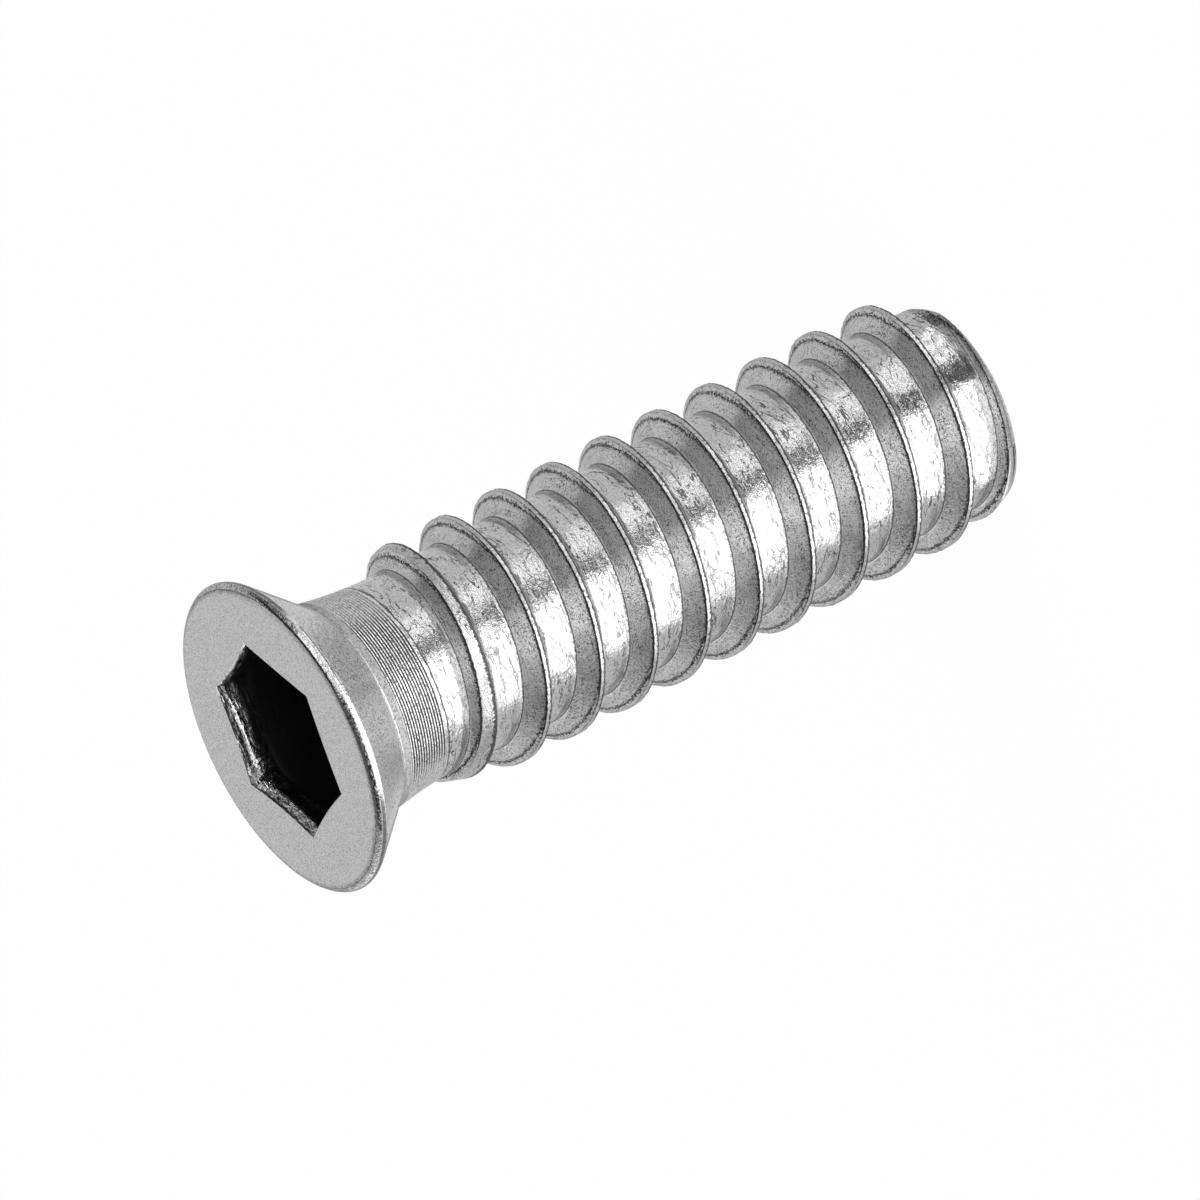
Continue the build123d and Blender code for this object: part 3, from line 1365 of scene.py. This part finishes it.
class PlatingGraph(Graph):
    """The plating's nodes as they are put together: the skin's masks, the grains and the dark marks, which
    are mostly painted shade.
    """

    def __init__(self, tree: bpy.types.NodeTree) -> None:
        """Read the masks and sample the grains.

        Args:
            tree: the material's tree.
        """
        super().__init__(tree)
        here = self.node("ShaderNodeTexCoord").outputs["Object"]
        flat = self.node("ShaderNodeVectorMath", {"operation": "MULTIPLY"}, {0: here, 1: (1.0, 1.0, 0.0)})
        spoke = self.node("ShaderNodeVectorMath", {"operation": "NORMALIZE"}, {0: flat.outputs[0]})
        self.spoke = spoke.outputs[0]
        up = self.node("ShaderNodeSeparateXYZ", {}, {"Vector": here}).outputs["Z"]
        self.height = Shade(self, up) / MM
        self.mask = {zone: self.zone(zone) for zone in Zone}
        self.dents, self.wrinkle, self.seam, self.patch, self.sand, self.fuzz, self.drag, self.rings = (
            self.speckle(here, *texture.value) for texture in Texture
        )
        self.waver = self.sand * 0.14 + self.fuzz * 0.10
        self.speck = self.sand * 1.6 + self.fuzz * 2.0
        self.calm = self.around(Side.CALM_ROOT)
        self.rounding = self.mask[Zone.RIM].band(Band.ROUNDING)
        self.cone = self.mask[Zone.RIM].band(Band.CONE)
        self.flank = self.mask[Zone.FIN].band(Band.FLANK)
        self.crack = self.cracks()
        # The fold is a crease in the relief and a line of painted shade in the colour
        self.fold = (self.mask[Zone.LIP] + (self.sand + self.fuzz) * 0.4).line(Line.FOLD)

    def around(self, side: Side) -> Shade:
        """Tell which points lie on one side of the insert.

        Args:
            side: the stretch of the way round.

        Returns:
            1 inside and 0 outside.
        """
        middle, full, faded = (math.radians(angle) for angle in side.value)
        made = self.node("ShaderNodeVectorMath", {"operation": "DOT_PRODUCT"},
                         {0: self.spoke, 1: (-math.sin(middle), -math.cos(middle), 0.0)})
        return Shade(self, made.outputs["Value"]).ease(math.cos(faded), math.cos(full))

    def beyond(self, side: Side) -> Shade:
        """Tell which points lie away from one side of the insert."""
        return 1 - self.around(side)

    def cracks(self) -> Shade:
        """Draw the cracks in the torn root, dark partly with dirt and partly with painted shade, fainter
        where it is calm.

        Returns:
            How dark they are.
        """
        bent = self.seam + (self.sand + self.fuzz) * 0.06
        drawn = bent.line(Line.CRACK) * self.patch.ease(-0.01, 0.04)
        drawn = drawn + bent.line(Line.SIDE_CRACK) * self.patch.ease(0.01, -0.04)
        return drawn * self.mask[Zone.TORN] * (1 - self.calm * 0.45)

    def thread_marks(self) -> list[Shade]:
        """Draw the marks on the wood thread.

        Returns:
            Its cracks, partly dirt and partly painted shade, its fold line of painted shade, and the painted
            shade on its crest, foot, sides and tip.
        """
        fin, lip, wavering = self.mask[Zone.FIN], self.mask[Zone.LIP], self.mask[Zone.FIN] + self.waver
        # Painted shade: lines along the crest's edges and foot, a painted shadow under the foot, darker
        # crest and flanks on some sides, and a darker tip
        aside = lip.ease(0.98, 0.84)
        crest_line = wavering.line(Line.CREST) * (0.3 + 0.7 * lip.ease(-0.24, -0.10))
        far_line = (wavering - self.mask[Zone.TORN] * 0.06).ease(1.165, 1.195)
        foot_line = (fin + self.waver * 0.6).line(Line.FOOT)
        foot_shade = aside * fin.ease(0.04, 0.0) * wavering.ease(-0.44, -0.34)
        far_crest = fin.ease(0.98, 1.02) * aside * self.beyond(Side.NEAR_CREST)
        height = self.height + self.waver * 0.4
        tip_edge = self.maths("MAXIMUM", height.line(Line.TIP), height.ease(0.2, 0.15) * 0.55)
        tip_edge = tip_edge * fin.ease(0.98, 1.0) * height.ease(1.0, 0.8)
        return [
            self.crack * 0.8, crest_line, far_line * 0.9, self.fold, foot_line * 0.85, foot_shade * 0.45,
            far_crest * 0.22, self.flank * self.around(Side.DARK_FLANK) * 0.42,
            self.flank * self.around(Side.DIM_FLANK) * 0.24, tip_edge,
        ]

    def neck_marks(self) -> list[Shade]:
        """Draw the marks on the turned neck.

        Returns:
            Its ragged border on the root, and the painted shade in its grooves, on its sides and on the knee
            under the flange.
        """
        turned, rim_way = self.mask[Zone.TURNED], self.mask[Zone.RIM]
        border = (turned + self.wrinkle * 0.5 + self.fuzz * 0.3).line(Line.BORDER)
        # Painted shade in the grooves' bottoms, stronger on the side facing the camera
        grooves = self.mask[Zone.GROOVE].ease(0.36, 0.57) * (0.34 + 0.64 * self.around(Side.NEAR_GROOVES))
        sides = turned * rim_way.ease(5.0, 5.6) * self.beyond(Side.NEAR_NECK)
        knee = rim_way.band(Band.KNEE) * self.beyond(Side.BRIGHT_KNEE)
        return [border * 0.9, grooves, sides * 0.30, knee * 0.35]

    def flange_marks(self) -> list[Shade]:
        """Draw the marks on the flange.

        Returns:
            The painted shade along its rim, as a line and in patches, and on its land and its cone.
        """
        rim_way = self.mask[Zone.RIM]
        # Painted shade: a dark line along the rim, darker patches on some sides, and shade on the land and
        # the cone
        strength = 0.05 + self.around(Side.LINED_RIM) * 0.95 - self.around(Side.THIN_RIM_LINE) * 0.4
        line_way = rim_way - 0.16 * self.beyond(Side.STRAIGHT_RIM_LINE)
        rim_line = (line_way + self.sand * 0.2 + self.fuzz * 0.25).line(Line.RIM) * strength
        soft = rim_way + self.sand * 0.16 + self.fuzz * 0.3
        painted_shade = soft.band(Band.SOOT) * self.around(Side.SOOTY_RIM)
        painted_shade = painted_shade * (0.56 + 0.34 * self.around(Side.SOOTIEST_RIM) + self.speck * 1.9)
        far_rim_shade = soft.band(Band.FAR_SOOT) * self.around(Side.FAR_SOOTY_RIM)
        foot_line = (rim_way + self.sand * 0.1).line(Line.RIM_FOOT) * self.around(Side.LINED_RIM_FOOT)
        land = rim_way.band(Band.LAND) * self.beyond(Side.BRIGHT_LAND)
        dim_rim = rim_way.band(Band.DIM_RIM) * self.beyond(Side.BRIGHT_RIM)
        hidden_rim = rim_way.band(Band.HIDDEN_RIM) * self.beyond(Side.OPEN_RIM)
        cone = self.cone * (0.07 + 0.38 * self.around(Side.DIM_CONE))
        cone = cone * (1 - self.around(Side.CONE_GLINT) * 0.55)
        cone = cone + self.cone * self.beyond(Side.NEAR_CONE) * 0.64
        return [
            rim_line, painted_shade, far_rim_shade * (0.70 + self.speck), foot_line * 0.8, land * 0.75,
            dim_rim * (0.42 + self.speck * 0.5), hidden_rim * 0.8, cone,
        ]

    def grime_and_shade(self) -> Shade:
        """Lay all the dark marks over each other, the darkest on top: painted shade, with dirt in the
        cracks.
        """
        marks = self.thread_marks() + self.neck_marks() + self.flange_marks()
        return functools.reduce(lambda dark, mark: self.maths("MAXIMUM", dark, mark), marks)

    def mottle(self) -> Shade:
        """Work out how stained the metal is all over, more here and less there.

        Returns:
            The stain, 0.10 on average.
        """
        torn, satin = self.mask[Zone.TORN], self.mask[Zone.SATIN]
        darkening = self.sand * (1.9 - 0.9 * self.flank + 0.1 * self.cone - 1.7 * satin - 1.3 * torn)
        darkening = darkening + self.fuzz * (2.2 + 2.2 * self.flank + 2.0 * self.cone)
        darkening = darkening + (self.rings + self.dents) * self.flank * 0.9 + self.drag * self.mask[Zone.WALL] * 1.4
        return 0.10 + darkening

    def relief(self) -> Shade:
        """Work out the fine relief: dents and cracks in the root, grain on the rest, and the fold.

        Returns:
            Its height, as a share of the full depth.
        """
        torn, satin, rounding = self.mask[Zone.TORN], self.mask[Zone.SATIN], self.rounding
        relief = self.dents * torn * (0.65 - 0.25 * self.calm)
        relief = relief + self.wrinkle * torn * (0.42 - 0.26 * self.calm)
        relief = relief - self.crack * 0.5 - self.fold * 0.3
        relief = relief + self.sand * (0.30 - 0.20 * satin - 0.18 * rounding - 0.16 * torn)
        relief = relief + self.fuzz * (0.20 - 0.04 * satin - 0.06 * torn)
        relief = relief + self.drag * self.mask[Zone.WALL] * 0.3
        return relief + self.rings * self.mask[Zone.TURNED] * (0.10 - 0.07 * rounding)


@dataclass(frozen=True)
class ZincPlating:
    """Bright zinc over turned and rolled steel: torn in the thread's root, satin on the face."""

    rolled: float = 0.66
    flank: float = 0.70
    cut: float = 0.86
    matt: float = 0.50
    face: float = 0.80
    # The tone that the real stains and the painted shade darken towards
    darkening: float = 0.03
    # The near black of the painted shade in the socket and the bore
    hollow_shade_tone: float = 0.02
    rolled_roughness: float = 0.09
    flank_roughness: float = 0.27
    turned_roughness: float = 0.24
    matt_roughness: float = 0.75
    rim_roughness: float = 0.12
    satin_roughness: float = 0.40
    fuzz_roughness: float = 0.16
    # Roughness added where the painted shade and the dirt in the cracks lie
    grime_and_shade_roughness: float = 0.2
    hollow_roughness: float = 0.3
    relief_depth: float = 0.08

    def colour(self, graph: PlatingGraph, grime_and_shade: Shade) -> bpy.types.NodeSocket:
        """Lay the tones over each other.

        Args:
            graph: the plating's nodes.
            grime_and_shade: how dark the painted shade and the dirt in the cracks are.

        Returns:
            The socket with the colour.
        """
        laid = grey(self.flank)
        # The parts' tones, then the mottle's real stains, the painted shade of the marks and the painted
        # shade of the hollows
        for cover, tone in (
            (graph.mask[Zone.TORN], self.rolled), (graph.mask[Zone.TURNED], self.cut),
            (graph.mask[Zone.MATT], self.matt), (graph.mask[Zone.SATIN], self.face),
            (graph.mottle(), self.darkening), (grime_and_shade, self.darkening), (graph.mask[Zone.HOLLOW], self.hollow_shade_tone),
        ):
            laid = graph.blend(cover, laid, grey(tone))
        return laid

    def roughness(self, graph: PlatingGraph, grime_and_shade: Shade) -> Shade:
        """Work out how rough each part is.

        Args:
            graph: the plating's nodes.
            grime_and_shade: how dark the painted shade and the dirt in the cracks are.

        Returns:
            The roughness.
        """
        rough = self.flank_roughness + graph.fuzz * self.fuzz_roughness + grime_and_shade * self.grime_and_shade_roughness
        rough = rough + graph.mask[Zone.HOLLOW] * self.hollow_roughness
        for cover, here, beside in (
            (graph.mask[Zone.TORN], self.rolled_roughness, self.flank_roughness),
            (graph.mask[Zone.TURNED], self.turned_roughness, self.flank_roughness),
            (graph.mask[Zone.MATT], self.matt_roughness, self.turned_roughness),
            (graph.mask[Zone.SATIN], self.satin_roughness, self.flank_roughness),
            (graph.rounding, self.rim_roughness, self.turned_roughness),
        ):
            rough = rough + cover * (here - beside)
        return rough

    def material(self) -> bpy.types.Material:
        """Make the plating's material.

        Returns:
            The material.
        """
        made = bpy.data.materials.new("zinc_plated_steel")
        made.use_nodes = True
        graph = PlatingGraph(made.node_tree)
        # The painted shade and the dirt in the cracks, as one dark mask
        grime_and_shade = graph.grime_and_shade()
        bump = graph.node("ShaderNodeBump", {}, {
            "Strength": 1.0, "Distance": self.relief_depth * MM, "Height": graph.relief(),
        })
        shader = graph.node("ShaderNodeBsdfPrincipled", {}, {
            "Base Color": self.colour(graph, grime_and_shade), "Metallic": 1.0,
            "Roughness": self.roughness(graph, grime_and_shade), "Normal": bump.outputs[0],
        })
        graph.node("ShaderNodeOutputMaterial", {}, {"Surface": shader.outputs[0]})
        return made


@dataclass(frozen=True)
class Viewpoint:
    """Where the photograph was taken from: it looks down at the insert, rolled with its head low."""

    picture: int = 1200
    distance: int = 20000
    face_at: tuple[float, float] = (278.4, 740.7)
    millimetres_per_pixel: float = 0.04495
    face_level: float = FACE_LEVEL
    axis_turn: float = 26.66
    axis_tilt: float = 63.5
    sensor: float = 36.0
    clip_start: float = 0.05
    clip_end: float = 20.0

    def build(self) -> bpy.types.Object:
        """Make the camera and hand it to the scene.

        Returns:
            The camera.
        """
        turn, tilt = math.radians(self.axis_turn), math.radians(self.axis_tilt)
        right = Vector((-math.sin(turn), -math.cos(tilt) * math.cos(turn), -math.sin(tilt) * math.cos(turn)))
        down = Vector((-math.cos(turn), math.cos(tilt) * math.sin(turn), math.sin(tilt) * math.sin(turn)))
        ahead = Vector((0.0, math.sin(tilt), -math.cos(tilt)))
        off = [at - self.picture / 2 for at in self.face_at]
        reach = off[0] * right + off[1] * down + self.distance * ahead
        spot = Vector((0.0, 0.0, self.face_level)) - reach * self.millimetres_per_pixel
        data = bpy.data.cameras.new("viewpoint")
        data.sensor_width = self.sensor
        data.lens = self.sensor * self.distance / self.picture
        data.clip_start, data.clip_end = self.clip_start, self.clip_end
        made = put("viewpoint", data)
        axes = Matrix((right, -down, -ahead)).transposed().to_4x4()
        made.matrix_world = Matrix.Translation(spot * MM) @ axes
        bpy.context.scene.camera = made
        return made


@dataclass(frozen=True)
class Lamp:
    """A soft box: where it hangs, what it faces, its size and its plain brightness."""

    name: str
    spot: tuple[float, float, float]
    aim: tuple[float, float, float]
    size: tuple[float, float]
    brightness: float

    def build(self) -> bpy.types.Object:
        """Make the lamp.

        Returns:
            The lamp, unseen by the camera.
        """
        data = bpy.data.lights.new(self.name, "AREA")
        data.shape = "RECTANGLE"
        data.size, data.size_y = self.size
        data.energy = self.brightness * math.pi * self.size[0] * self.size[1]
        made = put(self.name, data)
        way = Vector(self.aim) - Vector(self.spot)
        made.location = self.spot
        made.rotation_mode = "QUATERNION"
        made.rotation_quaternion = way.to_track_quat("-Z", "Y")
        made.visible_camera = False
        return made


def prop(name: str, corners: list[tuple[float, float, float]], facets: list[tuple[int, ...]],
         paint: bpy.types.Material) -> bpy.types.Object:
    """Make a flat piece of the studio.

    Args:
        name: its name.
        corners: its corners, in metres.
        facets: which corners each of its facets joins.
        paint: its finish.

    Returns:
        The piece.
    """
    mesh = bpy.data.meshes.new(name)
    mesh.from_pydata(corners, [], facets)
    mesh.materials.append(paint)
    return put(name, mesh)


@dataclass(frozen=True)
class Card:
    """A card on the floor that only the metal sees, as a studio uses to draw an edge.

    It is a wedge between two angles in degrees, counted from the camera's side towards the side that the
    photograph shows below.
    """

    name: str
    angles: Range
    tone: float
    start: float = 0.0053
    reach: float = 0.6
    height: float = 0.0003
    steps: int = 8

    def build(self) -> bpy.types.Object:
        """Make the card.

        Returns:
            The card.
        """
        corners = []
        for step in range(self.steps + 1):
            turn = math.radians(self.angles[0] + (self.angles[1] - self.angles[0]) * step / self.steps)
            for radius in (self.start, self.reach):
                corners.append((-math.sin(turn) * radius, -math.cos(turn) * radius, self.height))
        strips = [(2 * i, 2 * i + 1, 2 * i + 3, 2 * i + 2) for i in range(self.steps)]
        paint = bpy.data.materials.new(self.name)
        paint.use_nodes = True
        graph = Graph(paint.node_tree)
        glow = graph.node("ShaderNodeEmission", {}, {"Color": grey(self.tone), "Strength": 1.0})
        graph.node("ShaderNodeOutputMaterial", {}, {"Surface": glow.outputs[0]})
        made = prop(self.name, corners, strips, paint)
        made.visible_camera = made.visible_diffuse = made.visible_shadow = False
        return made


@dataclass(frozen=True)
class Panel:
    """A soft round panel in the sky: where it is, where its edge starts and ends, and its plain tone."""

    way: tuple[float, float, float]
    inner: float
    outer: float
    tone: float

    def over(self, graph: Graph, way: bpy.types.NodeSocket, sky: Any) -> bpy.types.NodeSocket:
        """Lay the panel over the sky.

        Args:
            graph: the world's graph.
            way: the socket with the direction that is looked in.
            sky: the socket with the sky's colour so far.

        Returns:
            The socket with the colour that shows the panel too.
        """
        turned = graph.node(
            "ShaderNodeVectorMath", {"operation": "DOT_PRODUCT"},
            {0: way, 1: tuple(Vector(self.way).normalized())},
        )
        near = Shade(graph, turned.outputs["Value"]).ease(
            math.cos(math.radians(self.outer)), math.cos(math.radians(self.inner))
        )
        return graph.blend(near, sky, grey(self.tone))


@dataclass(frozen=True)
class Studio:
    """A plain pale floor under an even, soft sky of light."""

    floor_radius: float = 3.0
    floor_corners: int = 64
    floor_tone: float = 0.8
    seen_white: float = 0.97
    mirrored_white: float = 0.45
    sky: tuple[tuple[float, float], ...] = (
        (0.0, 0.58), (0.25, 0.70), (0.47, 0.88), (0.62, 0.60), (0.84, 0.40), (0.93, 0.15), (1.0, 0.10),
    )
    panels: tuple[Panel, ...] = (
        Panel((-0.18, -0.86, 0.48), 17.0, 23.0, 1.7),
        Panel((-0.74, -0.50, 0.43), 20.0, 26.0, 1.7),
        Panel((0.53, -0.25, 0.81), 15.0, 20.0, 1.7),
        Panel((0.86, 0.16, 0.48), 12.0, 22.0, 0.14),
        Panel((-0.48, 0.15, 0.86), 17.0, 23.0, 0.15),
        Panel((-0.69, 0.72, 0.12), 9.0, 14.0, 1.7),
    )
    cards: tuple[Card, ...] = (
        Card("bright_card", (-7.0, 76.0), 2.4),
        Card("dark_card", (-25.0, -8.0), 0.15),
        Card("pale_card", (-58.0, -50.0), 1.9),
        Card("gap_card", (-50.0, -47.0), 0.08),
        Card("pale_card", (-47.0, -39.0), 1.9),
        Card("gap_card", (-39.0, -36.0), 0.08),
        Card("pale_card", (-36.0, -28.0), 1.9),
        Card("gap_card", (-28.0, -25.0), 0.08),
    )
    lamp: Lamp = Lamp("front", (0.0, -1.3, 0.26), (0.0, 0.0, 0.02), (1.4, 0.44), 1.9)

    def build(self) -> None:
        """Make the floor, the sky, the cards and the lamp."""
        self.floor()
        self.world()
        for card in self.cards:
            card.build()
        self.lamp.build()

    def floor(self) -> bpy.types.Object:
        """Make the floor.

        Returns:
            The floor, which keeps the object's shadow where the camera sees it.
        """
        paint = bpy.data.materials.new("pale_floor")
        paint.use_nodes = True
        graph = Graph(paint.node_tree)
        ray = graph.node("ShaderNodeLightPath")
        seen = Shade(graph, ray.outputs["Is Camera Ray"]) * self.seen_white
        mirrored = graph.maths("MAXIMUM", Shade(graph, ray.outputs["Is Glossy Ray"]),
                               Shade(graph, ray.outputs["Is Transmission Ray"]))
        matt = graph.node("ShaderNodeBsdfDiffuse", {}, {"Color": grey(self.floor_tone)})
        white = graph.node("ShaderNodeEmission", {}, {"Color": grey(1.0), "Strength": 1.0})
        mixed = graph.node("ShaderNodeMixShader", {}, {
            0: seen + mirrored * self.mirrored_white, 1: matt.outputs[0], 2: white.outputs[0],
        })
        graph.node("ShaderNodeOutputMaterial", {}, {"Surface": mixed.outputs[0]})
        turns = [TURN * i / self.floor_corners for i in range(self.floor_corners)]
        corners = [(self.floor_radius * math.cos(t), self.floor_radius * math.sin(t), 0.0) for t in turns]
        made = prop("floor", corners, [tuple(range(self.floor_corners))], paint)
        return made

    def world(self) -> None:
        """Light the world evenly, a little darker between its sides and its zenith."""
        world = bpy.data.worlds.new("soft_sky")
        bpy.context.scene.world = world
        world.use_nodes = True
        graph = Graph(world.node_tree)
        way = graph.node("ShaderNodeTexCoord").outputs["Generated"]
        up = graph.node("ShaderNodeSeparateXYZ", {}, {0: way}).outputs["Z"]
        ramp = graph.node("ShaderNodeValToRGB", {"stops": self.sky}, {"Fac": up})
        ray = graph.node("ShaderNodeLightPath")
        seen = Shade(graph, ray.outputs["Is Camera Ray"])
        colour = ramp.outputs[0]
        for panel in self.panels:
            colour = panel.over(graph, way, colour)
        colour = graph.blend(seen, colour, grey(1.0))
        back = graph.node("ShaderNodeBackground", {}, {"Color": colour, "Strength": 1.0})
        graph.node("ShaderNodeOutputWorld", {}, {"Surface": back.outputs[0]})


def main() -> None:
    """Build the insert and its studio, and report what was made."""
    logging.basicConfig(level=logging.INFO, format="%(name)s: %(message)s")
    bpy.context.scene.view_settings.view_transform = "Standard"
    insert = Insert()
    piece = insert.build(ZincPlating().material())
    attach(piece, "root")
    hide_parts("threaded_insert")
    triangles = sum(len(facet.vertices) - 2 for facet in piece.data.polygons)
    LOG.info("%s: %d points, %d triangles", piece.name, len(piece.data.vertices), triangles)
    Viewpoint().build()
    Studio().build()


if __name__ == "__main__":
    main()
